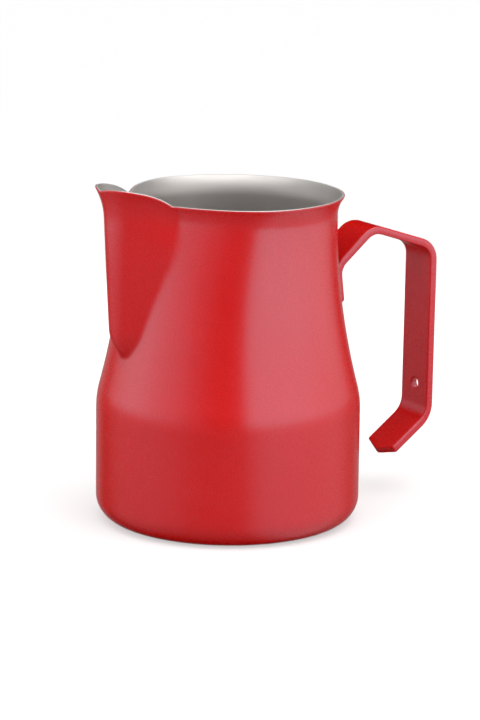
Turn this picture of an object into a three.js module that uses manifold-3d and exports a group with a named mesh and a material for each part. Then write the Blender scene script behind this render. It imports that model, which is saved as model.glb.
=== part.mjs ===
// Milk frothing pitcher, nominal half litre.
// A deep-drawn stainless cup with a pressed pouring spout, a powder coat on its outside, and a
// bent flat-bar handle held to the cup by two spot welds.
// Millimetres. +Z up, origin on the cup's axis at the plane it stands on.
// The handle is at +X and the spout is at -X.

import * as THREE from 'three';
import { mergeVertices } from 'three/addons/utils/BufferGeometryUtils.js';
import Module from 'manifold-3d';

// ---------------------------------------------------------------- driving dimensions
// Cup: the steel's outer surface.
const RIM_HEIGHT = 109.3;
const BODY_RADIUS = 43.8;
const BASE_CORNER = 8;
const NECK_RADIUS = 35.2;
const NECK_HEIGHT = 103;
const CONE_ARC = 219; // hollow arc of the tapering wall, upright at the neck
const SHOULDER_ARC = 28; // rounded arc between the upright wall and the taper
const RIM_ARC = 9.7; // outward roll of the rim above the neck
const WALL = 0.8;

// Spout: a rounded wedge that stands out of the tapering wall, along -X.
const SPOUT_FOOT = 58.5; // height where the ridge leaves the wall
const SPOUT_FOOT_ANGLE = 50; // ridge direction there, degrees from upright
const SPOUT_FOOT_ARC = 13.4;
const SPOUT_FOOT_REACH = 6; // the crease's rounding ends this far below the foot
const SPOUT_LEAN = 2.5; // degrees from upright, above the foot arc
const TIP_RADIUS = 48.8; // spout tip, from the cup's axis
const TIP_ROLL_START = 101; // height where the tip starts to roll outward
const NOSE_BASE_RADIUS = 4.2; // wedge nose radius, near the foot
const NOSE_BASE_HEIGHT = 60;
const NOSE_LEAST_RADIUS = 4;
const NOSE_GROWTH = 4.3 / 44; // growth of the nose radius with height
const NOSE_LIP_EXTRA = 3; // added where the tip rolls outward
const FLANK_ANGLE = 37; // wedge flank to the spout's direction, degrees
const FLANK_LIP_ANGLE = 20;
const FLANK_TURN_HEIGHT = 88; // the flanks start to open toward the lip here
const FLANK_TURN_POWER = 2.3;
const CREASE_BLEND = 1.0; // rounding of the crease between the spout and the wall
const WALL_PULL = 4.2; // how far the pressing draws in the wall beside the spout, at the rim
const WALL_PULL_START = 60; // height where that begins
const WALL_PULL_FULL = 35; // degrees from the spout's direction
const WALL_PULL_END = 90;
const LIP_RISE = 6.9; // lip height above the rim, at the middle of each flank
const LIP_RISE_POWER = 2.3;
const LIP_DROOP = 2.6; // how much lower than that the tip is
const LIP_RISE_ANGLE = 26; // degrees from the spout's direction where the rise ends
const LIP_RISE_START = 84; // height above which the wall stretches up to the raised lip

// Powder coat on the outside of the cup.
const COAT = 0.15;
const COAT_GAP = 0.03;
const COAT_FOOT_ANGLE = 15; // the coat starts this far round the base corner, degrees
const COAT_RIM_MARGIN = 0.4; // bare steel left below the rim's edge

// Handle: a flat bar bent in the XZ plane. Its outline is that of the face toward the fingers.
const BAR_WIDTH = 15.6;
const BAR_THICKNESS = 2.6;
const BAR_EDGE = 0.5; // edge rounding
const FLANGE_GAP = 0.3; // between the coat and the flange
const FLANGE_FOOT_HEIGHT = 69.8;
const FLANGE_BEND_HEIGHT = 82;
const TOP_BEND = [52.2, 93.1]; // [x, z] where the straight runs meet
const OUTER_BEND = [75.3, 85.6];
const LOWER_BEND = [74.9, 27.8];
const BAR_END = [61.5, 17.7];
const BAR_POINT = 2.9; // how far the pointed end stands past its shoulders
const FLANGE_BEND_RADIUS = 4.8; // radii on the finger side
const TOP_BEND_RADIUS = 5.4;
const OUTER_BEND_RADIUS = 5.5;
const LOWER_BEND_RADIUS = 7.5;
const HANGING_HOLE_HEIGHT = 37.3;
const HANGING_HOLE_RADIUS = 2;

// Spot welds between the flange and the cup.
const WELD_RADIUS = 1.8;
const WELD_CLEARANCE = 0.2;
const WELD_COVER = 0.4; // the nugget stops this far under the bar's finger side
const WELD_HEIGHTS = { lower: 72.6, upper: 77.1 };
const WELD_SIDES = 20;

// Facets: plan angles from the spout's direction, and heights of the wall's rows.
const SPOUT_ANGLES = [0, 3, 6, 9, 12, 15, 18, 21, 24, 27, 30, 34, 40, 48, 57, 66, 78, 90];
const REAR_ANGLES = [102, 114, 126, 138, 150, 160, 170];
const CORNER_TURNS = [0, COAT_FOOT_ANGLE, 34, 53, 72, 90]; // round the base corner, degrees
const COAT_TOP = RIM_HEIGHT - COAT_RIM_MARGIN;
const SHOULDER_ROWS = [37.5, 41.5, 45.5, 51];
const SPOUT_ROWS = [55.5, 58.5, 61, 64, 68, 73, 79, 85, 90, 95, 99];
const LIP_ROWS = [102, 104, 106, 107.6, COAT_TOP, RIM_HEIGHT];
const WALL_ROWS = [...SHOULDER_ROWS, ...SPOUT_ROWS, ...LIP_ROWS];

// ---------------------------------------------------------------- colours
const COLOURS = {
  coat: { color: 0xc4161c, roughness: 0.42, metalness: 0.0 },
  steel: { color: 0xb9b7b3, roughness: 0.34, metalness: 1.0 },
};

// ---------------------------------------------------------------- small helpers
const rad = THREE.MathUtils.degToRad;
const clamp01 = (t) => THREE.MathUtils.clamp(t, 0, 1);

/** 0 before start, 1 after end, smooth between. */
function smooth(x, start, end) {
  const t = clamp01((x - start) / (end - start));
  return t * t * (3 - 2 * t);
}

/** The larger of two lengths, blended where they differ by less than the given amount. */
function softMax(a, b, blend) {
  const overlap = Math.max(blend - Math.abs(a - b), 0);
  return Math.max(a, b) + overlap ** 2 / (4 * blend);
}

// ---------------------------------------------------------------- cup surface
/** Radius of the cup before the spout is pressed, for a height on the wall. */
function wallRadius(z) {
  const drop = BODY_RADIUS - NECK_RADIUS;
  const hollow = Math.sqrt(drop / (1 / (2 * CONE_ARC) + SHOULDER_ARC / (2 * CONE_ARC ** 2)));
  const arcsMeet = NECK_HEIGHT - hollow;
  const shoulder = arcsMeet - (hollow * SHOULDER_ARC) / CONE_ARC;
  if (z <= shoulder) return BODY_RADIUS;
  if (z <= arcsMeet) return BODY_RADIUS - (z - shoulder) ** 2 / (2 * SHOULDER_ARC);
  if (z <= NECK_HEIGHT) return NECK_RADIUS + (NECK_HEIGHT - z) ** 2 / (2 * CONE_ARC);
  return NECK_RADIUS + RIM_ARC - Math.sqrt(RIM_ARC ** 2 - (z - NECK_HEIGHT) ** 2);
}

/** 0 below the place where the spout's tip starts to roll outward, 1 at the lip. */
function tipRoll(z) {
  return clamp01((z - TIP_ROLL_START) / (RIM_HEIGHT - TIP_ROLL_START)) ** 2.5;
}

/** Distance of the spout's ridge from the cup's axis. */
function ridgeRadius(z) {
  const foot = rad(SPOUT_FOOT_ANGLE);
  const lean = rad(SPOUT_LEAN);
  const footRadius = wallRadius(SPOUT_FOOT);
  const arcTop = SPOUT_FOOT + SPOUT_FOOT_ARC * (Math.sin(foot) - Math.sin(lean));
  const arcTopRadius = footRadius + SPOUT_FOOT_ARC * (Math.cos(lean) - Math.cos(foot));
  if (z < SPOUT_FOOT) return footRadius + (z - SPOUT_FOOT) * Math.tan(foot);
  if (z < arcTop) {
    const sine = Math.sin(foot) - (z - SPOUT_FOOT) / SPOUT_FOOT_ARC;
    return footRadius + SPOUT_FOOT_ARC * (Math.sqrt(1 - sine * sine) - Math.cos(foot));
  }
  const straight = arcTopRadius + (z - arcTop) * Math.tan(lean);
  const lipStraight = arcTopRadius + (RIM_HEIGHT - arcTop) * Math.tan(lean);
  return straight + (TIP_RADIUS - lipStraight) * tipRoll(z);
}

/** Radius of the wedge's nose, seen from above. */
function noseRadius(z) {
  const straight = NOSE_BASE_RADIUS + NOSE_GROWTH * (z - NOSE_BASE_HEIGHT);
  return Math.max(straight, NOSE_LEAST_RADIUS) + NOSE_LIP_EXTRA * tipRoll(z);
}

/** Plan radius of the spout's wedge at an angle from its direction: a nose arc, then a flank. */
function wedgeRadius(angle, z) {
  const nose = noseRadius(z);
  const turn = clamp01((z - FLANK_TURN_HEIGHT) / (RIM_HEIGHT - FLANK_TURN_HEIGHT)) ** FLANK_TURN_POWER;
  const flank = rad(FLANK_ANGLE + (FLANK_LIP_ANGLE - FLANK_ANGLE) * turn);
  const centre = ridgeRadius(z) - nose;
  const flankStart = Math.atan2(nose * Math.cos(flank), centre + nose * Math.sin(flank));
  if (angle < flankStart) {
    return centre * Math.cos(angle) + Math.sqrt(nose ** 2 - (centre * Math.sin(angle)) ** 2);
  }
  const nearest = Math.PI / 2 - flank; // where the flank's plane comes nearest to the cup's axis
  return (centre * Math.sin(flank) + nose) / Math.sin(flank + Math.min(angle, nearest));
}

/** Plan radius of the pressed cup, at an angle in degrees from the spout's direction. */
function cupRadius(degrees, z) {
  const away = Math.abs(degrees);
  const pullHeight = clamp01((z - WALL_PULL_START) / (RIM_HEIGHT - WALL_PULL_START)) ** 2;
  const pull = WALL_PULL * pullHeight * (1 - smooth(away, WALL_PULL_FULL, WALL_PULL_END));
  const wall = wallRadius(z) - pull;
  if (z < SPOUT_FOOT - SPOUT_FOOT_REACH || away > WALL_PULL_END) return wall;
  return softMax(wall, wedgeRadius(rad(away), z), CREASE_BLEND);
}

/** Height of a point of the wall once the lip is drawn up at the spout. */
function cupHeight(degrees, z) {
  const inward = clamp01(1 - Math.abs(degrees) / LIP_RISE_ANGLE);
  const rise = LIP_RISE * (1 - (1 - inward) ** LIP_RISE_POWER) - LIP_DROOP * inward ** 2;
  return z + rise * clamp01((z - LIP_RISE_START) / (RIM_HEIGHT - LIP_RISE_START)) ** 2;
}

function wallPoint(degrees, z) {
  const angle = rad(degrees);
  const radius = cupRadius(degrees, z);
  return new THREE.Vector3(-radius * Math.cos(angle), -radius * Math.sin(angle), cupHeight(degrees, z));
}

/** Point of the wall, moved along the outward normal. */
function offsetWallPoint(degrees, z, offset) {
  const step = 0.02;
  const top = Math.min(z + step, RIM_HEIGHT);
  const along = wallPoint(degrees, top).sub(wallPoint(degrees, z - step));
  const around = wallPoint(degrees + step, z).sub(wallPoint(degrees - step, z));
  const normal = around.cross(along).normalize();
  return wallPoint(degrees, z).addScaledVector(normal, offset);
}

/** Point of the rounded base corner: 0 degrees faces down, 90 degrees meets the wall. */
function cornerPoint(degrees, cornerDegrees, offset) {
  const angle = rad(degrees);
  const turn = rad(cornerDegrees);
  const arc = BASE_CORNER + offset;
  const radius = BODY_RADIUS - BASE_CORNER + arc * Math.sin(turn);
  const height = BASE_CORNER - arc * Math.cos(turn);
  return new THREE.Vector3(-radius * Math.cos(angle), -radius * Math.sin(angle), height);
}

/** Plan angles all the way round, the same on both sides of the spout. */
function planAngles() {
  const half = [...SPOUT_ANGLES, ...REAR_ANGLES];
  const mirrored = half.slice(1).reverse().map((angle) => -angle);
  return [...half, 180, ...mirrored];
}

/** Rings of points from the base corner to the rim, at an offset from the steel's outer surface. */
function cupRings(offset, firstTurn, topRow) {
  const angles = planAngles();
  const turns = CORNER_TURNS.filter((turn) => turn >= firstTurn);
  const rows = WALL_ROWS.filter((row) => row <= topRow);
  const corner = turns.map((turn) => angles.map((angle) => cornerPoint(angle, turn, offset)));
  const wall = rows.map((row) => angles.map((angle) => offsetWallPoint(angle, row, offset)));
  return [...corner, ...wall];
}

/**
 * Closed skin between outer and inner rings, which both run upward.
 * Both sides split their quads along the same diagonal, so that nested skins stay parallel.
 * poles: fan centres that close the first outer ring and the first inner ring.
 */
function skinGeometry(outer, inner, poles) {
  const rings = [...outer, ...[...inner].reverse()];
  const count = rings[0].length;
  const points = rings.flat();
  const faces = [];
  const link = (a, b, downward) => {
    for (let j = 0; j < count; j += 1) {
      const k = (j + 1) % count;
      if (downward) faces.push(a + j, a + k, b + j, a + k, b + k, b + j);
      else faces.push(a + j, b + k, b + j, a + j, a + k, b + k);
    }
  };
  for (let i = 0; i + 1 < rings.length; i += 1) link(i * count, (i + 1) * count, i >= outer.length);
  if (poles) {
    const last = (rings.length - 1) * count;
    points.push(poles[0], poles[1]);
    for (let j = 0; j < count; j += 1) {
      const k = (j + 1) % count;
      faces.push(points.length - 2, k, j, points.length - 1, last + j, last + k);
    }
  } else {
    link((rings.length - 1) * count, 0, false);
  }
  const geometry = new THREE.BufferGeometry();
  const coordinates = points.flatMap((point) => point.toArray());
  geometry.setAttribute('position', new THREE.Float32BufferAttribute(coordinates, 3));
  geometry.setIndex(faces);
  return geometry;
}

/** The steel cup: outside up to the rim, over its edge, and down the inside. */
function cupGeometry() {
  const outside = cupRings(0, 0, RIM_HEIGHT);
  const inside = cupRings(-WALL, 0, RIM_HEIGHT);
  return skinGeometry(outside, inside, [new THREE.Vector3(0, 0, 0), new THREE.Vector3(0, 0, WALL)]);
}

/** The coat: a thin skin on the outside, from the base corner to just under the rim's edge. */
function coatGeometry() {
  const outer = cupRings(COAT_GAP + COAT, COAT_FOOT_ANGLE, COAT_TOP);
  const inner = cupRings(COAT_GAP, COAT_FOOT_ANGLE, COAT_TOP);
  return skinGeometry(outer, inner, null);
}

// ---------------------------------------------------------------- handle
/** Distance from the cup's axis to the flange's finger side, at a height. */
function flangeX(z) {
  return wallRadius(z) + COAT_GAP + COAT + FLANGE_GAP + BAR_THICKNESS;
}

/** Corners of the bar's finger side, from the flange's foot to the free end. */
function barCorners() {
  const flangeFoot = [flangeX(FLANGE_FOOT_HEIGHT), FLANGE_FOOT_HEIGHT];
  const flangeBend = [flangeX(FLANGE_BEND_HEIGHT), FLANGE_BEND_HEIGHT];
  const corners = [flangeFoot, flangeBend, TOP_BEND, OUTER_BEND, LOWER_BEND, BAR_END];
  return corners.map(([x, z]) => new THREE.Vector2(x, z));
}

const BEND_RADII = [FLANGE_BEND_RADIUS, TOP_BEND_RADIUS, OUTER_BEND_RADIUS, LOWER_BEND_RADIUS];
const BEND_STEP = 12; // degrees of bend per facet

/** Side outline of the bar: its finger side with rounded bends, and the same offset outward. */
function barOutline() {
  const corners = barCorners();
  const end = corners[5].clone().sub(corners[4]).normalize();
  corners[5].addScaledVector(end, BAR_POINT);
  const finger = [corners[0]];
  const outer = [offsetPoint(corners[0], corners[1].clone().sub(corners[0]))];
  BEND_RADII.forEach((radius, i) => {
    const [before, corner, after] = corners.slice(i, i + 3);
    const arriving = corner.clone().sub(before).normalize();
    const leaving = after.clone().sub(corner).normalize();
    const turn = arriving.angleTo(leaving);
    const start = corner.clone().addScaledVector(arriving, -radius * Math.tan(turn / 2));
    const centre = start.clone().add(new THREE.Vector2(arriving.y, -arriving.x).multiplyScalar(radius));
    const steps = Math.ceil(turn / rad(BEND_STEP));
    for (let j = 0; j <= steps; j += 1) {
      const arm = start.clone().sub(centre).rotateAround(new THREE.Vector2(), (-turn * j) / steps);
      finger.push(centre.clone().add(arm));
      outer.push(centre.clone().addScaledVector(arm, (radius + BAR_THICKNESS) / radius));
    }
  });
  finger.push(corners[5]);
  outer.push(offsetPoint(corners[5], end));
  return [...finger, ...outer.reverse()];
}

/** A point moved to the bar's outer side, square to a direction of travel. */
function offsetPoint(point, direction) {
  const along = direction.clone().normalize();
  return point.clone().add(new THREE.Vector2(-along.y, along.x).multiplyScalar(BAR_THICKNESS));
}

// ---------------------------------------------------------------- cutting with manifold-3d
const wasm = await Module();
wasm.setup();

function toSolid(geometry) {
  const bare = geometry.clone();
  bare.deleteAttribute('normal');
  bare.deleteAttribute('uv');
  const merged = mergeVertices(bare, 1e-4);
  return new wasm.Manifold(
    new wasm.Mesh({
      numProp: 3,
      vertProperties: new Float32Array(merged.attributes.position.array),
      triVerts: new Uint32Array(merged.index.array),
    }),
  );
}

function toGeometry(solid) {
  const mesh = solid.getMesh();
  const geometry = new THREE.BufferGeometry();
  geometry.setAttribute('position', new THREE.BufferAttribute(mesh.vertProperties, 3));
  geometry.setIndex(new THREE.BufferAttribute(mesh.triVerts, 1));
  geometry.computeVertexNormals();
  return geometry;
}

/** A round rod from one point to another. */
function rod(from, to, radius) {
  const axis = to.clone().sub(from);
  const geometry = new THREE.CylinderGeometry(radius, radius, axis.length(), WELD_SIDES);
  const upright = new THREE.Vector3(0, 1, 0);
  const turn = new THREE.Quaternion().setFromUnitVectors(upright, axis.clone().normalize());
  const middle = from.clone().add(to).multiplyScalar(0.5);
  return geometry.applyQuaternion(turn).translate(middle.x, middle.y, middle.z);
}

/** Weld axis: square to the flange, through the wall and the bar. */
function weldAxis(height) {
  const slope = flangeX(FLANGE_FOOT_HEIGHT) - flangeX(FLANGE_BEND_HEIGHT);
  const normal = new THREE.Vector3(FLANGE_BEND_HEIGHT - FLANGE_FOOT_HEIGHT, 0, slope).normalize();
  const t = (height - FLANGE_FOOT_HEIGHT) / (FLANGE_BEND_HEIGHT - FLANGE_FOOT_HEIGHT);
  const x = THREE.MathUtils.lerp(flangeX(FLANGE_FOOT_HEIGHT), flangeX(FLANGE_BEND_HEIGHT), t);
  return { point: new THREE.Vector3(x, 0, height), normal };
}

/** Rod along a weld's axis, between two distances inward from the bar's finger side. */
function weldRod(height, radius, near, far) {
  const { point, normal } = weldAxis(height);
  const from = point.clone().addScaledVector(normal, -far);
  const to = point.clone().addScaledVector(normal, -near);
  return rod(from, to, radius);
}

/** A solid with clear holes for both welds. */
function drill(geometry) {
  const reach = 12;
  let solid = toSolid(geometry);
  for (const height of Object.values(WELD_HEIGHTS)) {
    const hole = weldRod(height, WELD_RADIUS + WELD_CLEARANCE, -reach, reach);
    solid = solid.subtract(toSolid(hole));
  }
  return solid;
}

/** The bent bar: its side outline, extruded across the width, then pointed and drilled. */
function handleGeometry() {
  const shape = new THREE.Shape(barOutline());
  const bar = new THREE.ExtrudeGeometry(shape, {
    depth: BAR_WIDTH - 2 * BAR_EDGE,
    bevelThickness: BAR_EDGE,
    bevelSize: BAR_EDGE,
    bevelOffset: -BAR_EDGE,
    bevelSegments: 2,
  });
  bar.rotateX(Math.PI / 2).translate(0, BAR_WIDTH / 2 - BAR_EDGE, 0);
  let solid = drill(bar);
  for (const side of [-1, 1]) solid = solid.subtract(toSolid(endCutter(side)));
  const grip = new THREE.Vector3(LOWER_BEND[0], 0, HANGING_HOLE_HEIGHT);
  const reach = new THREE.Vector3(10, 0, 0);
  const hole = rod(grip.clone().sub(reach), grip.clone().add(reach), HANGING_HOLE_RADIUS);
  return toGeometry(solid.subtract(toSolid(hole)));
}

/** Wedge that takes one shoulder off the bar's free end, which leaves a shallow point. */
function endCutter(side) {
  const corners = barCorners();
  const along = corners[5].clone().sub(corners[4]).normalize();
  const direction = new THREE.Vector3(along.x, 0, along.y);
  const half = BAR_WIDTH / 2;
  const reach = 20;
  const outline = new THREE.Shape([
    new THREE.Vector2(0, BAR_POINT),
    new THREE.Vector2(side * half * 2, -BAR_POINT),
    new THREE.Vector2(side * half * 2, reach),
    new THREE.Vector2(0, reach),
  ]);
  const cutter = new THREE.ExtrudeGeometry(outline, { depth: reach, bevelEnabled: false });
  const across = new THREE.Vector3(0, 1, 0);
  const basis = new THREE.Matrix4().makeBasis(across, direction, across.clone().cross(direction));
  cutter.translate(0, 0, -reach / 2).applyMatrix4(basis);
  return cutter.translate(corners[5].x, 0, corners[5].y);
}

// ---------------------------------------------------------------- spot welds
/** A weld's nugget: from the inside of the cup's wall to just under the bar's finger side. */
function weldGeometry(height) {
  const wallSide = BAR_THICKNESS + FLANGE_GAP + COAT + COAT_GAP + WALL;
  return weldRod(height, WELD_RADIUS, WELD_COVER, wallSide);
}

// ---------------------------------------------------------------- assembly
function named(name, geometry, look) {
  const mesh = new THREE.Mesh(geometry, new THREE.MeshStandardMaterial(look));
  mesh.name = name;
  return mesh;
}

const pitcher = new THREE.Group();
pitcher.add(named('cup_shell', toGeometry(drill(cupGeometry())), COLOURS.steel));
pitcher.add(named('cup_powder_coat', toGeometry(drill(coatGeometry())), COLOURS.coat));
pitcher.add(named('handle_bar', handleGeometry(), COLOURS.coat));
for (const [place, height] of Object.entries(WELD_HEIGHTS)) {
  pitcher.add(named(`spot_weld_${place}`, weldGeometry(height), COLOURS.steel));
}

export default pitcher;
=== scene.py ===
import math

import bmesh
import bpy
from mathutils import Matrix, Vector


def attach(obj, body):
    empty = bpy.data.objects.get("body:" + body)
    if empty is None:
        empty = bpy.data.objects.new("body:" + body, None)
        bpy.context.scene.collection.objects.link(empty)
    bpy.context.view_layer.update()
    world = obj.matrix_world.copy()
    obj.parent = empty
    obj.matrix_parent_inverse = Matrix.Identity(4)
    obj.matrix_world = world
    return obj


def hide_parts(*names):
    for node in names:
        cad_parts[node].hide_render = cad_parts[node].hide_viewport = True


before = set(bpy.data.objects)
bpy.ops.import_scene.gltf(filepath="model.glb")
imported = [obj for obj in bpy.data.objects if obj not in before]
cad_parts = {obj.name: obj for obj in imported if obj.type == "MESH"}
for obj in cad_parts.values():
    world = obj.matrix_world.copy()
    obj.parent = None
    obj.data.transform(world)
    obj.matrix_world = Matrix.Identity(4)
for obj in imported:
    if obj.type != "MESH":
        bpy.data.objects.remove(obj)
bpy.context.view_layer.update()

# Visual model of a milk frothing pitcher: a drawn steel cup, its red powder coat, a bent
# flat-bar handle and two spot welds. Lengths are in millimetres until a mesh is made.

MM = 0.001

# ---------------------------------------------------------------- cup dimensions
RIM_HEIGHT = 109.3
BODY_RADIUS = 43.8
BASE_CORNER = 8.0
NECK_RADIUS = 35.2
NECK_HEIGHT = 103.0
CONE_ARC = 219.0
SHOULDER_ARC = 28.0
RIM_ARC = 9.7
WALL = 0.8

SPOUT_FOOT = 58.5
SPOUT_FOOT_REACH = 6.0
SPOUT_FOOT_ANGLE = math.radians(50)
SPOUT_FOOT_ARC = 13.4
SPOUT_LEAN = math.radians(2.5)
TIP_RADIUS = 48.8
TIP_ROLL_START = 101.0
TIP_ROLL_POWER = 2.5
NOSE_BASE_RADIUS = 4.2
NOSE_LEAST_RADIUS = 4.0
NOSE_BASE_HEIGHT = 60.0
NOSE_GROWTH = 4.3 / 44
NOSE_LIP_EXTRA = 3.0
FLANK_ANGLE = 37.0
FLANK_LIP_ANGLE = 20.0
FLANK_TURN_HEIGHT = 88.0
FLANK_TURN_POWER = 2.3
CREASE_BLEND = 1.0
WALL_PULL = 4.2
WALL_PULL_START = 60.0
WALL_PULL_FULL = 35.0
WALL_PULL_END = 90.0
LIP_RISE = 6.9
LIP_RISE_POWER = 2.3
LIP_DROOP = 2.6
LIP_RISE_ANGLE = 26.0
LIP_RISE_START = 84.0

# Underside: the cup stands on a ring, and the middle is pressed up a little.
FOOT_RING_INNER = 32.0
DISH_OUTER = 29.0
DISH_DEPTH = 0.6
DISH_CROWN = 0.25

# The coat's outer face is where the CAD has it. Its hidden inner face stands off a little more,
# so that it stays clear of the steel where flat facets cross the spout's crease.
COAT = 0.10
COAT_GAP = 0.08
COAT_FOOT_ANGLE = 15.0
COAT_FOOT_CLEARANCE = 2.0  # least step from the coat's foot to its next ring, degrees
COAT_WRAP = 58.0  # how far the coat goes over the rim's rounded edge, degrees
COAT_WRAP_WANDER = 5.0
# How it wanders round the rim: waves in one turn, share of the wander, phase in radians.
COAT_WRAP_WAVES = ((3, 0.5, 0.7), (7, 0.3, 0.0), (17, 0.2, 0.0))

# ---------------------------------------------------------------- handle dimensions
BAR_WIDTH = 15.6
BAR_THICKNESS = 2.6
BAR_EDGE = 0.55
FLANGE_GAP = 0.3
FLANGE_FOOT_HEIGHT = 69.8
FLANGE_FOOT_ROUNDING = 2.5
FLANGE_BEND_HEIGHT = 82.0
TOP_BEND = (52.2, 93.1)
OUTER_BEND = (75.3, 85.6)
LOWER_BEND = (74.9, 27.8)
BAR_END = (61.5, 17.7)
BAR_POINT = 2.9
BAR_POINT_BLUNTNESS = 0.35
BEND_RADII = (4.8, 5.4, 5.5, 7.5)
HANGING_HOLE_HEIGHT = 37.3
HANGING_HOLE_RADIUS = 2.0
HANGING_HOLE_EDGE = 0.45

# ---------------------------------------------------------------- weld dimensions
WELD_HEIGHTS = {"lower": 72.6, "upper": 77.1}
WELD_RADIUS = 1.8
WELD_START = 0.6  # depth under the flange's finger side where the nugget starts
WELD_DENT = 0.22
# The dent on the flange, from its border inward: radius beyond the weld's, share of its depth.
DENT_PROFILE = ((0.25, 0.0), (0.1, 0.14), (-0.05, 0.55), (-0.25, 0.9), (-0.6, 1.0),
                (-1.0, 0.95), (-1.4, 0.9))
# The mark inside the cup: radius beyond the weld's, height above the cup's inner face.
MARK_PROFILE = ((0, -0.3), (-0.05, 0.02), (-0.25, 0.1), (-0.5, 0.08), (-0.9, 0.03),
                (-1.4, 0.02))

# ---------------------------------------------------------------- mesh density
# Rows and rings between two places, as (start, end, count), closest where the surface bends.
PLAN_SPANS = ((0, 44, 62), (44, 60, 12), (60, 180, 44))
WALL_SPANS = ((BASE_CORNER, 36, 8), (36, 54, 20), (54, 66, 24), (66, 98, 24),
              (98, RIM_HEIGHT - 1, 24))
SKIN_TOP = RIM_HEIGHT - 0.6  # last row of a skin before the rim's rounded edge
CENTRE_RADII = (1.5, 6, 12, 18, 24, 28)
FOOT_RING_SPAN = (28, 33, 10)
FOOT_RING_OUTER = 34.5
CORNER_ROWS = 12
RIM_SEGMENTS = 8
COAT_WRAP_ROWS = 6
COAT_END_SEGMENTS = 6
SLOPE_STEP = 0.02  # how far apart two points are that give a surface's direction
BEND_SPACING = 0.45  # between rows of the bar on a bend
RUN_SPACING = 2.0  # and on a straight run
LEAST_STRETCH = 1e-6  # shorter than this is rounding, and gets no row
HANDLE_MERGE = 0.001  # vertices of the handle closer than this are one
POINT_SPAN = (1.5, 9)  # distances from the pointed end between which its shape fades out
FOOT_SPAN = (1.0, 7)  # and from the flange's foot
WELD_SIDES = 40
WELD_PATCH_MARGIN = 0.35
HOLE_PATCH_MARGIN = 0.5
HOLE_EDGE_SEGMENTS = 4


# ---------------------------------------------------------------- small helpers
def clamp01(value):
    return min(max(value, 0.0), 1.0)


def smooth(value, start, end):
    """0 before start, 1 after end, smooth between."""
    t = clamp01((value - start) / (end - start))
    return t * t * (3 - 2 * t)


def soft_max(a, b, blend):
    """The larger of two lengths, blended where they differ by less than blend."""
    overlap = max(blend - abs(a - b), 0.0)
    return max(a, b) + overlap**2 / (4 * blend)


def steps(start, end, count):
    """Evenly spaced values after start, up to and with end."""
    return [start + (end - start) * (i + 1) / count for i in range(count)]


def span_steps(spans):
    return [value for span in spans for value in steps(*span)]


# ---------------------------------------------------------------- cup surface
def wall_radius(z):
    """Radius of the cup before the spout is pressed, at a height on the wall."""
    drop = BODY_RADIUS - NECK_RADIUS
    hollow = math.sqrt(drop / (1 / (2 * CONE_ARC) + SHOULDER_ARC / (2 * CONE_ARC**2)))
    arcs_meet = NECK_HEIGHT - hollow
    shoulder = arcs_meet - hollow * SHOULDER_ARC / CONE_ARC
    if z <= shoulder:
        return BODY_RADIUS
    if z <= arcs_meet:
        return BODY_RADIUS - (z - shoulder) ** 2 / (2 * SHOULDER_ARC)
    if z <= NECK_HEIGHT:
        return NECK_RADIUS + (NECK_HEIGHT - z) ** 2 / (2 * CONE_ARC)
    return NECK_RADIUS + RIM_ARC - math.sqrt(RIM_ARC**2 - (z - NECK_HEIGHT) ** 2)


def tip_roll(z):
    """0 below the place where the spout's tip starts to roll outward, 1 at the lip."""
    return clamp01((z - TIP_ROLL_START) / (RIM_HEIGHT - TIP_ROLL_START)) ** TIP_ROLL_POWER


def ridge_radius(z):
    """Distance of the spout's ridge from the cup's axis."""
    foot, lean = SPOUT_FOOT_ANGLE, SPOUT_LEAN
    foot_radius = wall_radius(SPOUT_FOOT)
    arc_top = SPOUT_FOOT + SPOUT_FOOT_ARC * (math.sin(foot) - math.sin(lean))
    arc_top_radius = foot_radius + SPOUT_FOOT_ARC * (math.cos(lean) - math.cos(foot))
    if z < SPOUT_FOOT:
        return foot_radius + (z - SPOUT_FOOT) * math.tan(foot)
    if z < arc_top:
        sine = math.sin(foot) - (z - SPOUT_FOOT) / SPOUT_FOOT_ARC
        return foot_radius + SPOUT_FOOT_ARC * (math.sqrt(1 - sine**2) - math.cos(foot))
    straight = arc_top_radius + (z - arc_top) * math.tan(lean)
    lip_straight = arc_top_radius + (RIM_HEIGHT - arc_top) * math.tan(lean)
    return straight + (TIP_RADIUS - lip_straight) * tip_roll(z)


def wedge_radius(angle, z):
    """Plan radius of the spout's wedge at an angle from its direction: a nose, then a flank."""
    nose = max(NOSE_BASE_RADIUS + NOSE_GROWTH * (z - NOSE_BASE_HEIGHT), NOSE_LEAST_RADIUS)
    nose += NOSE_LIP_EXTRA * tip_roll(z)
    turn = clamp01((z - FLANK_TURN_HEIGHT) / (RIM_HEIGHT - FLANK_TURN_HEIGHT))
    flank = math.radians(FLANK_ANGLE + (FLANK_LIP_ANGLE - FLANK_ANGLE) * turn**FLANK_TURN_POWER)
    centre = ridge_radius(z) - nose
    flank_start = math.atan2(nose * math.cos(flank), centre + nose * math.sin(flank))
    if angle < flank_start:
        reach = math.sqrt(nose**2 - (centre * math.sin(angle)) ** 2)
        return centre * math.cos(angle) + reach
    nearest = math.pi / 2 - flank
    return (centre * math.sin(flank) + nose) / math.sin(flank + min(angle, nearest))


def cup_radius(degrees, z):
    """Plan radius of the pressed cup, at an angle from the spout's direction."""
    away = abs(degrees)
    pull = clamp01((z - WALL_PULL_START) / (RIM_HEIGHT - WALL_PULL_START)) ** 2
    pull *= 1 - smooth(away, WALL_PULL_FULL, WALL_PULL_END)
    wall = wall_radius(z) - WALL_PULL * pull
    if z < SPOUT_FOOT - SPOUT_FOOT_REACH or away > WALL_PULL_END:
        return wall
    return soft_max(wall, wedge_radius(math.radians(away), z), CREASE_BLEND)


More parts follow.
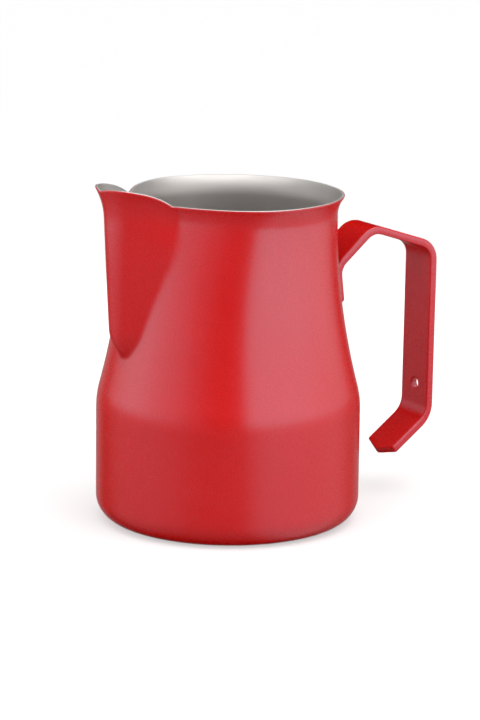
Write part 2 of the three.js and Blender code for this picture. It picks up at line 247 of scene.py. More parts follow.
def cup_height(degrees, z):
    """Height of a point of the wall once the lip is drawn up at the spout."""
    inward = clamp01(1 - abs(degrees) / LIP_RISE_ANGLE)
    rise = LIP_RISE * (1 - (1 - inward) ** LIP_RISE_POWER) - LIP_DROOP * inward**2
    return z + rise * clamp01((z - LIP_RISE_START) / (RIM_HEIGHT - LIP_RISE_START)) ** 2


def polar(degrees, radius, height):
    """A point at an angle from the spout's direction, which is -X."""
    angle = math.radians(degrees)
    return Vector((-radius * math.cos(angle), -radius * math.sin(angle), height))


def wall_point(degrees, z):
    return polar(degrees, cup_radius(degrees, z), cup_height(degrees, z))


def wall_frame(degrees, z):
    """Point of the steel's outer surface, with its outward normal and upward tangent."""
    top = min(z + SLOPE_STEP, RIM_HEIGHT)
    along = wall_point(degrees, top) - wall_point(degrees, z - SLOPE_STEP)
    around = wall_point(degrees + SLOPE_STEP, z) - wall_point(degrees - SLOPE_STEP, z)
    return wall_point(degrees, z), around.cross(along).normalized(), along.normalized()


def corner_point(degrees, turn, offset):
    """Point of the rounded base corner: turn 0 faces down, 90 meets the wall."""
    arc = BASE_CORNER + offset
    radius = BODY_RADIUS - BASE_CORNER + arc * math.sin(math.radians(turn))
    return polar(degrees, radius, BASE_CORNER - arc * math.cos(math.radians(turn)))


def plan_angles():
    """Plan angles all the way round, close together at the spout."""
    half = span_steps(PLAN_SPANS)
    mirrored = [-angle for angle in reversed(half[:-1])]
    return [0.0] + half + mirrored


ANGLES = plan_angles()
CORNER_TURNS = steps(0, 90, CORNER_ROWS)
WALL_HEIGHTS = span_steps(WALL_SPANS) + [SKIN_TOP]


def dish_height(radius):
    """Height of the underside's skin at a distance from the axis."""
    pressed = 1 - smooth(radius, DISH_OUTER, FOOT_RING_INNER)
    return pressed * (DISH_DEPTH + DISH_CROWN * (1 - (radius / DISH_OUTER) ** 2))


def base_rings(offset):
    """Rings of the cup's bottom, from near the axis to the base corner."""
    radii = [*CENTRE_RADII, *steps(*FOOT_RING_SPAN), FOOT_RING_OUTER, BODY_RADIUS - BASE_CORNER]
    return [[polar(a, r, dish_height(r) - offset) for a in ANGLES] for r in radii]


def side_rings(offset, turns):
    """Rings of the base corner and the wall, at an offset from the steel's outer surface."""
    corner = [[corner_point(a, turn, offset) for a in ANGLES] for turn in turns]
    wall = []
    for z in WALL_HEIGHTS:
        frames = [wall_frame(a, z) for a in ANGLES]
        wall.append([point + normal * offset for point, normal, _ in frames])
    return corner + wall


# ---------------------------------------------------------------- mesh making
def add_ring(bm, points):
    return [bm.verts.new(point * MM) for point in points]


def bridge(bm, lower, upper):
    """Quads between two closed rings of the same length."""
    count = len(lower)
    for j in range(count):
        k = (j + 1) % count
        bm.faces.new((lower[j], lower[k], upper[k], upper[j]))


def close_fan(bm, ring, centre):
    """Triangles from a ring to a point."""
    tip = bm.verts.new(centre * MM)
    for j, vert in enumerate(ring):
        bm.faces.new((vert, ring[(j + 1) % len(ring)], tip))


def make_piece(name, bm, material, node, merge=0.0):
    """A smooth-shaded piece that stands for one CAD node."""
    if merge:
        bmesh.ops.remove_doubles(bm, verts=bm.verts, dist=merge * MM)
    bmesh.ops.recalc_face_normals(bm, faces=bm.faces)
    mesh = bpy.data.meshes.new(name)
    bm.to_mesh(mesh)
    bm.free()
    mesh.shade_smooth()
    mesh.materials.append(material)
    piece = bpy.data.objects.new(name, mesh)
    bpy.context.scene.collection.objects.link(piece)
    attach(piece, "root")
    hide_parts(node)
    return piece


# ---------------------------------------------------------------- cup
RIM_EDGE = WALL / 2


def rim_frames():
    """Centre of the rim's rounded edge at each plan angle, with its outward and upward arms."""
    frames = []
    for a in ANGLES:
        point, normal, along = wall_frame(a, RIM_HEIGHT)
        frames.append((point - normal * RIM_EDGE - along * RIM_EDGE, normal, along))
    return frames


RIM_FRAMES = rim_frames()


def rim_rings():
    """Rings over the rolled edge of the sheet, from its outer side to its inner side."""
    rings = []
    for turn in [math.pi * i / RIM_SEGMENTS for i in range(RIM_SEGMENTS + 1)]:
        cos, sin = math.cos(turn), math.sin(turn)
        rings.append([centre + (normal * cos + along * sin) * RIM_EDGE
                      for centre, normal, along in RIM_FRAMES])
    return rings


def make_cup(material):
    """The drawn steel cup: bottom, outside, rolled rim edge, inside and floor."""
    outside = base_rings(0) + side_rings(0, CORNER_TURNS)
    inside = base_rings(-WALL) + side_rings(-WALL, CORNER_TURNS)
    bm = bmesh.new()
    skins = outside + rim_rings() + list(reversed(inside))
    rings = [add_ring(bm, points) for points in skins]
    for lower, upper in zip(rings, rings[1:]):
        bridge(bm, lower, upper)
    close_fan(bm, rings[0], Vector((0, 0, dish_height(0))))
    close_fan(bm, rings[-1], Vector((0, 0, dish_height(0) + WALL)))
    return make_piece("cup_steel", bm, material, "cup_shell")


def coat_wrap(degrees):
    """How far the coat goes over the rim's edge, in radians: the wiping leaves it uneven."""
    angle = math.radians(degrees)
    wander = sum(share * math.sin(waves * angle + phase) for waves, share, phase in COAT_WRAP_WAVES)
    return math.radians(COAT_WRAP + COAT_WRAP_WANDER * wander)


def coat_edge_rings(offset):
    """Rings of the coat where it follows the rim's rounded edge, up to the coat's own edge."""
    rings = []
    for share in [0.0] + steps(0, 1, COAT_WRAP_ROWS):
        ring = []
        for a, (centre, normal, along) in zip(ANGLES, RIM_FRAMES):
            turn = coat_wrap(a) * share
            arm = normal * math.cos(turn) + along * math.sin(turn)
            ring.append(centre + arm * (RIM_EDGE + offset))
        rings.append(ring)
    return rings


def coat_end_rings(low, high):
    """Rings over the coat's rounded end, between its outer and its inner side."""
    half = (high - low) / 2
    rings = []
    for turn in [math.pi * i / COAT_END_SEGMENTS for i in range(1, COAT_END_SEGMENTS)]:
        out = RIM_EDGE + low + half + half * math.cos(turn)
        ring = []
        for a, (centre, normal, along) in zip(ANGLES, RIM_FRAMES):
            wrap = coat_wrap(a)
            arm = normal * math.cos(wrap) + along * math.sin(wrap)
            ahead = along * math.cos(wrap) - normal * math.sin(wrap)
            ring.append(centre + arm * out + ahead * half * math.sin(turn))
        rings.append(ring)
    return rings


def make_coat(material):
    """The powder coat, a skin that starts in the base corner and ends on the rim's edge."""
    low, high = COAT_GAP, COAT_GAP + COAT
    first = COAT_FOOT_ANGLE + COAT_FOOT_CLEARANCE
    turns = [COAT_FOOT_ANGLE] + [turn for turn in CORNER_TURNS if turn > first]
    outside = side_rings(high, turns) + coat_edge_rings(high)
    inside = side_rings(low, turns) + coat_edge_rings(low)
    bm = bmesh.new()
    skins = outside + coat_end_rings(low, high) + list(reversed(inside))
    rings = [add_ring(bm, points) for points in skins]
    for lower, upper in zip(rings, rings[1:] + rings[:1]):
        bridge(bm, lower, upper)
    return make_piece("cup_red_coat", bm, material, "cup_powder_coat")


# ---------------------------------------------------------------- handle
def flange_x(z):
    """Distance from the cup's axis to the flange's finger side."""
    return wall_radius(z) + COAT_GAP + COAT + FLANGE_GAP + BAR_THICKNESS


def bar_path():
    """
    Path of the bar's finger side, as straight runs and bends in the XZ plane.
    A run is (length, start, direction); a bend is (length, centre, first arm, turn).
    """
    flange = [(flange_x(z), z) for z in (FLANGE_FOOT_HEIGHT, FLANGE_BEND_HEIGHT)]
    corners = [Vector(c) for c in flange + [TOP_BEND, OUTER_BEND, LOWER_BEND, BAR_END]]
    path = []
    here = corners[0]
    for i, radius in enumerate(BEND_RADII):
        arriving = (corners[i + 1] - corners[i]).normalized()
        leaving = (corners[i + 2] - corners[i + 1]).normalized()
        turn = arriving.angle(leaving)
        cut = radius * math.tan(turn / 2)
        start = corners[i + 1] - arriving * cut
        centre = start + Vector((arriving.y, -arriving.x)) * radius
        path.append(((start - here).length, here, arriving))
        path.append((radius * turn, centre, start - centre, turn))
        here = corners[i + 1] + leaving * cut
    last = (corners[-1] - corners[-2]).normalized()
    path.append(((corners[-1] - here).length + BAR_POINT, here, last))
    return path


BAR_PATH = bar_path()
GRIP = 6  # the straight run of the path that carries the hanging hole
BAR_LENGTH = sum(part[0] for part in BAR_PATH)


def bar_place(s, t, n):
    """A point of the bent bar: s along it, t across it, n from its finger side outward."""
    for part in BAR_PATH:
        if s <= part[0] or part is BAR_PATH[-1]:
            break
        s -= part[0]
    if len(part) == 3:
        _, start, direction = part
        point = start + direction * s
        outward = Vector((-direction.y, direction.x))
    else:
        length, centre, arm, turn = part
        arm = Matrix.Rotation(-turn * s / length, 2) @ arm
        point = centre + arm
        outward = arm.normalized()
    spot = point + outward * n
    return Vector((spot.x, t, spot.y))


FLAT_SEGMENTS = 16
EDGE_SEGMENTS = 4
PATCH = 8  # rows and columns of the flat that a round feature takes up
PATCH_COLUMN = (FLAT_SEGMENTS - PATCH) // 2
PATCH_HALF = 3.6  # half a patch's width across the bar
OUTER_SIDE = FLAT_SEGMENTS + 1 + 2 * EDGE_SEGMENTS  # where the outer side starts in a section


def flat_columns(half):
    """Positions across one flat of the bar: even inside the patch, even outside it."""
    inner = [PATCH_HALF * (2 * i / PATCH - 1) for i in range(PATCH + 1)]
    outer = steps(PATCH_HALF, half, PATCH_COLUMN)
    return [-t for t in reversed(outer)] + inner + outer


def bar_section(inset):
    """Closed outline of the bar's section, as (t, n), shrunk by inset near the bar's ends."""
    edge = BAR_EDGE - inset
    half = BAR_WIDTH / 2 - BAR_EDGE
    near, far = BAR_EDGE, BAR_THICKNESS - BAR_EDGE
    turns = [math.pi / 2 * i / EDGE_SEGMENTS for i in range(1, EDGE_SEGMENTS + 1)]
    finger = [(t, near - edge) for t in flat_columns(half)]
    rise = [(half + edge * math.sin(a), near - edge * math.cos(a)) for a in turns]
    back = [(half + edge * math.cos(a), far + edge * math.sin(a)) for a in [0] + turns[:-1]]
    outer = [(-t, far + edge) for t in flat_columns(half)]
    fall = [(-half - edge * math.sin(a), far + edge * math.cos(a)) for a in turns]
    home = [(-half - edge * math.cos(a), near - edge * math.sin(a)) for a in [0] + turns[:-1]]
    return finger + rise + back + outer + fall + home


def end_shift(s, t):
    """How far a row is moved along the bar, by the pointed end and the foot's round corners."""
    half = BAR_WIDTH / 2
    away = math.hypot(t, BAR_POINT_BLUNTNESS) - BAR_POINT_BLUNTNESS
    shoulder = BAR_POINT * min(away / half, 1.0)
    shift = -shoulder * (1 - smooth(BAR_LENGTH - s, *POINT_SPAN))
    beyond = max(abs(t) - (half - FLANGE_FOOT_ROUNDING), 0.0) / FLANGE_FOOT_ROUNDING
    foot = FLANGE_FOOT_ROUNDING * (1 - math.sqrt(max(1 - beyond**2, 0.0)))
    return shift + foot * (1 - smooth(s, *FOOT_SPAN))


def patch_spans():
    """Where along the bar the patches of the two dents and the hanging hole start and end."""
    slope = flange_x(FLANGE_FOOT_HEIGHT) - flange_x(FLANGE_BEND_HEIGHT)
    rise = FLANGE_BEND_HEIGHT - FLANGE_FOOT_HEIGHT
    along = math.hypot(slope, rise) / rise
    welds = [(z - FLANGE_FOOT_HEIGHT) * along for z in WELD_HEIGHTS.values()]
    grip = sum(part[0] for part in BAR_PATH[:GRIP])
    grip_top = BAR_PATH[GRIP][1].y
    hole = grip + grip_top - HANGING_HOLE_HEIGHT
    weld_half = WELD_RADIUS + WELD_PATCH_MARGIN
    spans = [(centre - weld_half, centre + weld_half) for centre in welds]
    return spans + [(hole - PATCH_HALF, hole + PATCH_HALF)]


def bar_rows():
    """Rows along the bar as (s, inset), and the first row of each round feature's patch."""
    end_turns = [math.pi / 2 * i / EDGE_SEGMENTS for i in range(EDGE_SEGMENTS + 1)]
    cap = [(BAR_EDGE * (1 - math.cos(a)), BAR_EDGE * (1 - math.sin(a))) for a in end_turns]
    rows = list(cap)
    starts = []
    place = cap[-1][0]
    for low, high in patch_spans():
        rows += plain_rows(place, low)
        starts.append(len(rows) - 1)
        rows += [(s, 0.0) for s in steps(low, high, PATCH)]
        place = high
    rows += plain_rows(place, BAR_LENGTH - cap[-1][0])
    rows += [(BAR_LENGTH - d, inset) for d, inset in reversed(cap[:-1])]
    return rows, starts


def plain_rows(start, end):
    """Rows of a stretch with no round feature: close together on the bends."""
    marks = [start]
    place = 0.0
    for part in BAR_PATH:
        stop = min(place + part[0], end)
        begin = max(place, marks[-1])
        if stop - begin > LEAST_STRETCH:
            spacing = BEND_SPACING if len(part) == 4 else RUN_SPACING
            marks += steps(begin, stop, max(1, round((stop - begin) / spacing)))
        place += part[0]
    return [(s, 0.0) for s in marks[1:]]


def patch_border(rings, row, side):
    """Vertices round a patch in order, from one corner; side 0 is the finger side."""
    first = PATCH_COLUMN if side == 0 else OUTER_SIDE + PATCH_COLUMN
    span = range(PATCH)
    down = [rings[row + i][first] for i in span]
    right = [rings[row + PATCH][first + i] for i in span]
    up = [rings[row + PATCH - i][first + PATCH] for i in span]
    left = [rings[row][first + PATCH - i] for i in span]
    return down + right + up + left


def round_ring(bm, centre, radius, depth):
    """Circle of vertices round a patch's centre, in the order of the finger side's border."""
    ring = []
    count = 4 * PATCH
    first_corner = -3 * math.pi / 4
    for i in range(count):
        angle = first_corner - 2 * math.pi * i / count
        s = centre + radius * math.sin(angle)
        t = radius * math.cos(angle)
        ring.append(bm.verts.new(bar_place(s, t, depth) * MM))
    return ring


def make_handle(material):
    """The bent bar, with rounded edges, a hanging hole, a pointed end and two weld dents."""
    rows, starts = bar_rows()
    bm = bmesh.new()
    rings = []
    for s, inset in rows:
        section = bar_section(inset)
        points = [bar_place(s + end_shift(s, t), t, n) for t, n in section]
        rings.append(add_ring(bm, points))
    skin_bar(bm, rings, starts)
    close_bar_end(bm, rings[0])
    close_bar_end(bm, rings[-1])
    for row in starts[:-1]:
        add_dent(bm, rings, rows, row)
    add_hole(bm, rings, rows, starts[-1])
    return make_piece("handle", bm, material, "handle_bar", HANDLE_MERGE)


def skin_bar(bm, rings, starts):
    """Quads between the bar's sections, except where a round feature has its patch."""
    patch_rows = {row + i for row in starts for i in range(PATCH)}
    hole_rows = {starts[-1] + i for i in range(PATCH)}
    count = len(rings[0])
    for i in range(len(rings) - 1):
        for j in range(count):
            in_finger = PATCH_COLUMN <= j < PATCH_COLUMN + PATCH
            in_outer = OUTER_SIDE + PATCH_COLUMN <= j < OUTER_SIDE + PATCH_COLUMN + PATCH
            if in_finger and i in patch_rows or in_outer and i in hole_rows:
                continue
            k = (j + 1) % count
            bm.faces.new((rings[i][j], rings[i][k], rings[i + 1][k], rings[i + 1][j]))


def close_bar_end(bm, ring):
    """The flat face at one end of the bar, in strips from the finger side to the outer side."""
    for i in range(FLAT_SEGMENTS):
        low, high = ring[i], ring[i + 1]
        far = OUTER_SIDE + FLAT_SEGMENTS - i
        opposite = (ring[far - 1], ring[far])
        bm.faces.new((low, high, *opposite))


def patch_centre(rows, row):
    return (rows[row][0] + rows[row + PATCH][0]) / 2


def add_dent(bm, rings, rows, row):
    """The shallow round dent that a welding electrode leaves on the flange."""
    centre = patch_centre(rows, row)
    ring = patch_border(rings, row, 0)
    for wider, share in DENT_PROFILE:
        inner = round_ring(bm, centre, WELD_RADIUS + wider, WELD_DENT * share)
        bridge(bm, ring, inner)
        ring = inner
    close_fan(bm, ring, bar_place(centre, 0, WELD_DENT * DENT_PROFILE[-1][1]))


def add_hole(bm, rings, rows, row):
    """The hanging hole, with rounded edges on both faces."""
    centre = patch_centre(rows, row)
    edge = HANGING_HOLE_EDGE
    turns = [math.pi / 2 * i / HOLE_EDGE_SEGMENTS for i in range(HOLE_EDGE_SEGMENTS + 1)]
    bore = []
    for side in (0, 1):
        ring = patch_border(rings, row, side)
        if side == 1:
            ring = [ring[(3 * PATCH - i) % len(ring)] for i in range(len(ring))]
        rims = [(HANGING_HOLE_RADIUS + edge + HOLE_PATCH_MARGIN, 0.0)]
        rims += [(HANGING_HOLE_RADIUS + edge * (1 - math.sin(a)), edge * (1 - math.cos(a)))
                 for a in turns]
        for radius, sink in rims:
            depth = sink if side == 0 else BAR_THICKNESS - sink
            inner = round_ring(bm, centre, radius, depth)
            bridge(bm, ring, inner)
            ring = inner
        bore.append(ring)
    bridge(bm, bore[0], bore[1])


# ---------------------------------------------------------------- spot welds
def make_weld(place, material):
    """A weld's nugget, with the shallow dent and raised ring that it leaves inside the cup."""
    height = WELD_HEIGHTS[place]
    low = Vector((flange_x(FLANGE_FOOT_HEIGHT), 0, FLANGE_FOOT_HEIGHT))
    high = Vector((flange_x(FLANGE_BEND_HEIGHT), 0, FLANGE_BEND_HEIGHT))
    share = (height - FLANGE_FOOT_HEIGHT) / (FLANGE_BEND_HEIGHT - FLANGE_FOOT_HEIGHT)
    spot = low.lerp(high, share)
    along = (high - low).normalized()
    across = Vector((0, 1, 0))
    inward = along.cross(across).normalized()
    through = BAR_THICKNESS + FLANGE_GAP + COAT + COAT_GAP + WALL
    profile = [(0, WELD_START)] + [(wider, through + above) for wider, above in MARK_PROFILE]
    bm = bmesh.new()
    rings = []
    for wider, depth in profile:
        radius = WELD_RADIUS + wider
        ring = []
        for i in range(WELD_SIDES):
            angle = 2 * math.pi * i / WELD_SIDES
            arm = (across * math.cos(angle) + along * math.sin(angle)) * radius
            ring.append(spot + inward * depth + arm)
        rings.append(add_ring(bm, ring))
    for lower, upper in zip(rings, rings[1:]):
        bridge(bm, lower, upper)
    close_fan(bm, rings[0], spot + inward * profile[0][1])
    close_fan(bm, rings[-1], spot + inward * profile[-1][1])
    return make_piece(f"weld_mark_{place}", bm, material, f"spot_weld_{place}")


# ---------------------------------------------------------------- materials
# Noise is a scale and a detail; a bump is a strength and a height in metres.
NOISE_SPREAD = (0.3, 0.7)  # the part of a noise's range that it mostly stays in
COAT_CLOUD = (38, 3.0)
COAT_PEEL = (900, 1.5)
COAT_GRAIN = (5200, 1.0)
COAT_COLOURS = ((0.56, 0.0026, 0.0006, 1), (0.58, 0.0033, 0.0009, 1))
COAT_ROUGHNESS = (0.258, 0.282)
COAT_SPECKLE = (-0.02, 0.02)
COAT_PEEL_BUMP = (0.25, 0.00004)
COAT_GRAIN_BUMP = (0.15, 0.00001)
COAT_IOR = 1.85
COAT_GLOSS_TINT = (0.12, 0.82, 1.0, 1)
STEEL_CLOUD = (55, 3.0)
STEEL_MARKS = (1.0, 3.0)
STEEL_MARKS_HARSHNESS = 0.65
STEEL_MARKS_ROUND = 4  # scale of the marks round the axis
STEEL_MARKS_ACROSS = 3000  # and across them
STEEL_COLOURS = ((0.58, 0.552, 0.53, 1), (0.635, 0.604, 0.58, 1))
STEEL_ROUGHNESS = (0.56, 0.62)
STEEL_STREAK = (-0.05, 0.05)
STEEL_MARKS_BUMP = (0.2, 0.00002)
STEEL_ANISOTROPY = 0.3
FLOOR_COLOUR = (0.88, 0.88, 0.88, 1)
FLOOR_ROUGHNESS = 0.9
FLOOR_GLOSS = 0.1
FLOOR_COVER = 0.52  # how much of the backdrop the floor hides, seen from above


def new_material(name):
    material = bpy.data.materials.new(name)
    material.use_nodes = True
    nodes = material.node_tree.nodes
    nodes.clear()
    output = nodes.new("ShaderNodeOutputMaterial")
    shader = nodes.new("ShaderNodeBsdfPrincipled")
    material.node_tree.links.new(shader.outputs[0], output.inputs[0])
    return material, nodes, material.node_tree.links, shader


def add_noise(nodes, links, vector, scale, detail, roughness=0.5):
    noise = nodes.new("ShaderNodeTexNoise")
    noise.inputs["Scale"].default_value = scale
    noise.inputs["Detail"].default_value = detail
    noise.inputs["Roughness"].default_value = roughness
    links.new(vector, noise.inputs["Vector"])
    return noise.outputs["Fac"]


def colour_ramp(nodes, links, value, colours):
    """A colour between two, by where a noise is within its spread."""
    ramp = nodes.new("ShaderNodeValToRGB")
    for element, position, colour in zip(ramp.color_ramp.elements, NOISE_SPREAD, colours):
        element.position = position
        element.color = colour
    links.new(value, ramp.inputs["Fac"])
    return ramp.outputs["Color"]


def map_range(nodes, links, value, from_low, from_high, to_low, to_high):
    node = nodes.new("ShaderNodeMapRange")
    for name, number in (
        ("From Min", from_low),
        ("From Max", from_high),
        ("To Min", to_low),
        ("To Max", to_high),
    ):
        node.inputs[name].default_value = number
    links.new(value, node.inputs["Value"])
    return node.outputs["Result"]


def math_node(nodes, links, operation, first, second=None):
    node = nodes.new("ShaderNodeMath")
    node.operation = operation
    for socket, value in zip(node.inputs, (first, second)):
        if value is None:
            continue
        if isinstance(value, (int, float)):
            socket.default_value = value
        else:
            links.new(value, socket)
    return node.outputs[0]


def add_bump(nodes, links, height, strength, distance, normal=None):
    bump = nodes.new("ShaderNodeBump")
    bump.inputs["Strength"].default_value = strength
    bump.inputs["Distance"].default_value = distance
    links.new(height, bump.inputs["Height"])
    if normal is not None:
        links.new(normal, bump.inputs["Normal"])
    return bump.outputs["Normal"]


def powder_coat_material():
    """Red satin powder coat: orange peel, a fine grain, and slightly uneven gloss and depth."""
    material, nodes, links, shader = new_material("red_powder_coat")
    place = nodes.new("ShaderNodeTexCoord").outputs["Object"]
    cloud = add_noise(nodes, links, place, *COAT_CLOUD)
    peel = add_noise(nodes, links, place, *COAT_PEEL)
    grain = add_noise(nodes, links, place, *COAT_GRAIN)
    links.new(colour_ramp(nodes, links, cloud, COAT_COLOURS), shader.inputs["Base Color"])
    uneven = map_range(nodes, links, cloud, *NOISE_SPREAD, *COAT_ROUGHNESS)
    speckle = map_range(nodes, links, grain, *NOISE_SPREAD, *COAT_SPECKLE)
    links.new(math_node(nodes, links, "ADD", uneven, speckle), shader.inputs["Roughness"])
    rolling = add_bump(nodes, links, peel, *COAT_PEEL_BUMP)
    fine = add_bump(nodes, links, grain, *COAT_GRAIN_BUMP, rolling)
    links.new(fine, shader.inputs["Normal"])
    shader.inputs["IOR"].default_value = COAT_IOR
    shader.inputs["Specular Tint"].default_value = COAT_GLOSS_TINT
    return material


def round_marks(nodes, links, place):
    """Noise drawn out round the cup's axis, as fine marks from spinning and brushing."""
    split = nodes.new("ShaderNodeSeparateXYZ")
    links.new(place, split.inputs[0])
    x, y, z = split.outputs

    def node(operation, first, second=None):
        return math_node(nodes, links, operation, first, second)

    angle = node("ARCTAN2", y, x)
    radius = node("SQRT", node("ADD", node("MULTIPLY", x, x), node("MULTIPLY", y, y)))
    turned = nodes.new("ShaderNodeCombineXYZ")
    links.new(node("MULTIPLY", node("COSINE", angle), STEEL_MARKS_ROUND), turned.inputs[0])
    links.new(node("MULTIPLY", node("SINE", angle), STEEL_MARKS_ROUND), turned.inputs[1])
    links.new(node("MULTIPLY", node("ADD", z, radius), STEEL_MARKS_ACROSS), turned.inputs[2])
    return add_noise(nodes, links, turned.outputs[0], *STEEL_MARKS, STEEL_MARKS_HARSHNESS)


def steel_material():
    """Satin stainless steel with fine marks that run round the cup's axis."""
    material, nodes, links, shader = new_material("stainless_steel")
    place = nodes.new("ShaderNodeTexCoord").outputs["Object"]
    marks = round_marks(nodes, links, place)
    cloud = add_noise(nodes, links, place, *STEEL_CLOUD)
    links.new(colour_ramp(nodes, links, cloud, STEEL_COLOURS), shader.inputs["Base Color"])
    uneven = map_range(nodes, links, cloud, *NOISE_SPREAD, *STEEL_ROUGHNESS)
    streak = map_range(nodes, links, marks, *NOISE_SPREAD, *STEEL_STREAK)
    links.new(math_node(nodes, links, "ADD", uneven, streak), shader.inputs["Roughness"])
    links.new(add_bump(nodes, links, marks, *STEEL_MARKS_BUMP), shader.inputs["Normal"])
    tangent = nodes.new("ShaderNodeTangent")
    tangent.direction_type = "RADIAL"
    tangent.axis = "Z"
    links.new(tangent.outputs[0], shader.inputs["Tangent"])
    shader.inputs["Metallic"].default_value = 1.0
    shader.inputs["Anisotropic"].default_value = STEEL_ANISOTROPY
    return material


def floor_material():
    """
    A pale floor that lets part of the backdrop through, so its shadows stay faint. From below it
    isn't there, so the pitcher's underside can be seen.
    """
    material, nodes, links, shader = new_material("studio_floor")
    shader.inputs["Base Color"].default_value = FLOOR_COLOUR
    facing = nodes.new("ShaderNodeNewGeometry").outputs["Backfacing"]
    links.new(map_range(nodes, links, facing, 0.0, 1.0, FLOOR_COVER, 0.0), shader.inputs["Alpha"])
    shader.inputs["Roughness"].default_value = FLOOR_ROUGHNESS
    shader.inputs["Specular IOR Level"].default_value = FLOOR_GLOSS
    return material


# ---------------------------------------------------------------- camera and studio
# The spout and the handle lie in the XZ plane. The camera stands on the spout's side of -Y.
CAMERA_SPOT = (-0.51504, -0.85717, 0.27783)
CAMERA_HEADING = math.radians(31.217)
CAMERA_TILT = math.radians(12.655)
CAMERA_ROLL = 0.0121944
CAMERA_LENS = 154.21
CAMERA_SENSOR = 36
CAMERA_NEAREST = 0.01


def make_camera():
    data = bpy.data.cameras.new("camera")
    data.sensor_width = CAMERA_SENSOR
    data.lens = CAMERA_LENS
    data.clip_start = CAMERA_NEAREST
    camera = bpy.data.objects.new("camera", data)
    bpy.context.scene.collection.objects.link(camera)
    turn = Matrix.Rotation(-CAMERA_HEADING, 4, "Z")
    tilt = Matrix.Rotation(math.pi / 2 - CAMERA_TILT, 4, "X")
    roll = Matrix.Rotation(CAMERA_ROLL, 4, "Z")
    camera.matrix_world = Matrix.Translation(CAMERA_SPOT) @ turn @ tilt @ roll
    bpy.context.scene.camera = camera


BACKDROP = 0.98  # radiance of what the camera sees behind the pitcher
FLOOR_REACH = 12.0
# Curved softboxes round the pitcher, made of flat panels: name, bearings of the two ends in
# degrees from the camera's side (positive to its right), and radiance at the two ends.
SOFTBOXES = (
    ("softbox_left", -24, -85, 0.0, 1.45),
    ("softbox_left_back", -85, -125, 1.45, 0.4),
    ("softbox_right", 15, 74, 1.6, 1.55),
    ("softbox_right_back", 74, 128, 1.45, 0.5),
)
SOFTBOX_DISTANCE = 0.40
SOFTBOX_HEIGHT = 0.24
SOFTBOX_LIFT = 0.03
SOFTBOX_PANEL = 14  # widest panel, degrees
# Panels that light surfaces but aren't mirrored in them: bearing, width, radiance.
FILL_PANELS = ((-35, 0.30, 0.9), (-115, 0.30, 1.6), (165, 0.60, 1.4))
# Light that comes from the room: strength, then where along each axis a ramp starts and ends.
# A room lobe is its strength times its ramps. "front" is toward the camera's side.
ROOM_LIGHT = (
    (0.05, (("front", -0.2, 0.6),)),
    (1.85, (("up", 0.6, 0.8), ("front", -0.8, 0.3))),
    (0.95, (("up", 0.45, 0.6), ("front", -0.1, 0.3))),
    (1.50, (("up", 0.7, 0.85), ("right", -0.1, 0.4))),
    (0.56, (("up", 0.05, -0.05), ("right", 0.22, 0.52), ("front", -0.8, -0.3))),
    (0.28, (("up", 0.05, -0.05), ("right", -0.4, -0.9), ("front", -0.8, -0.3))),
    (0.35, (("up", 0.05, -0.05), ("front", -0.7, -0.9))),
)


def make_floor():
    """The floor. Glossy surfaces don't mirror it, but the dim room below the horizon."""
    mesh = bpy.data.meshes.new("studio_floor")
    signs = ((-1, -1), (1, -1), (1, 1), (-1, 1))
    corners = [(x * FLOOR_REACH, y * FLOOR_REACH, 0) for x, y in signs]
    mesh.from_pydata(corners, [], [(0, 1, 2, 3)])
    mesh.materials.append(floor_material())
    floor = bpy.data.objects.new("studio_floor", mesh)
    bpy.context.scene.collection.objects.link(floor)
    floor.visible_glossy = False


def add_panel(name, bearing, width, radiance):
    """One upright panel of light, a little above the floor, that faces the pitcher."""
    data = bpy.data.lights.new(name, "AREA")
    data.shape = "RECTANGLE"
    data.size = width
    data.size_y = SOFTBOX_HEIGHT
    data.energy = radiance * math.pi * width * SOFTBOX_HEIGHT
    light = bpy.data.objects.new(name, data)
    bpy.context.scene.collection.objects.link(light)
    angle = math.atan2(CAMERA_SPOT[1], CAMERA_SPOT[0]) + math.radians(bearing)
    arm = Vector((math.cos(angle), math.sin(angle), 0))
    light.location = arm * SOFTBOX_DISTANCE + Vector((0, 0, SOFTBOX_HEIGHT / 2 + SOFTBOX_LIFT))
    light.rotation_euler = arm.to_track_quat("Z", "Y").to_euler()
    light.visible_camera = False
    return light


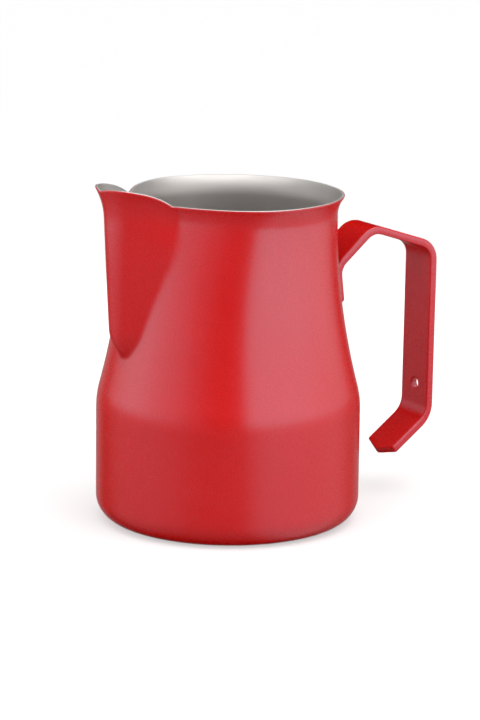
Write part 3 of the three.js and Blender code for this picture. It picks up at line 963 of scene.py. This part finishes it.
def add_softbox(name, start, end, start_radiance, end_radiance):
    """A row of panels along an arc, whose brightness runs evenly from one end to the other."""
    count = math.ceil(abs(end - start) / SOFTBOX_PANEL)
    width = 2 * SOFTBOX_DISTANCE * math.tan(math.radians(abs(end - start) / count / 2))
    for i in range(count):
        share = (i + 0.5) / count
        bearing = start + (end - start) * share
        radiance = start_radiance + (end_radiance - start_radiance) * share
        add_panel(f"{name}_{i}", bearing, width, radiance)


def room_strength(nodes, links):
    """Sum of the room's lobes, as seen in a direction."""
    direction = nodes.new("ShaderNodeTexCoord").outputs["Generated"]
    front = Vector((CAMERA_SPOT[0], CAMERA_SPOT[1], 0)).normalized()
    axes = {"front": front, "right": Vector((-front.y, front.x, 0)), "up": Vector((0, 0, 1))}
    along = {}
    for name, axis in axes.items():
        toward = nodes.new("ShaderNodeVectorMath")
        toward.operation = "DOT_PRODUCT"
        toward.inputs[1].default_value = axis
        links.new(direction, toward.inputs[0])
        along[name] = toward.outputs["Value"]
    total = None
    for strength, ramps in ROOM_LIGHT:
        lobe = strength
        for name, start, end in ramps:
            ramp = map_range(nodes, links, along[name], start, end, 0.0, 1.0)
            lobe = math_node(nodes, links, "MULTIPLY", ramp, lobe)
        total = lobe if total is None else math_node(nodes, links, "ADD", lobe, total)
    return total


def make_studio():
    """Soft light from the sides and the ceiling, in front of a pale backdrop."""
    world = bpy.data.worlds.new("studio")
    bpy.context.scene.world = world
    world.use_nodes = True
    nodes, links = world.node_tree.nodes, world.node_tree.links
    background = nodes["Background"]
    seen = nodes.new("ShaderNodeLightPath").outputs["Is Camera Ray"]
    backdrop = math_node(nodes, links, "MULTIPLY", seen, BACKDROP)
    strength = math_node(nodes, links, "MAXIMUM", room_strength(nodes, links), backdrop)
    links.new(strength, background.inputs["Strength"])
    background.inputs["Color"].default_value = (1, 1, 1, 1)
    for softbox in SOFTBOXES:
        add_softbox(*softbox)
    for i, panel in enumerate(FILL_PANELS):
        add_panel(f"fill_{i}", *panel).visible_glossy = False
    bpy.context.scene.view_settings.view_transform = "Standard"


# ---------------------------------------------------------------- assembly
make_camera()
make_floor()
make_studio()
STEEL = steel_material()
RED = powder_coat_material()
make_cup(STEEL)
make_coat(RED)
make_handle(RED)
for weld in WELD_HEIGHTS:
    make_weld(weld, STEEL)
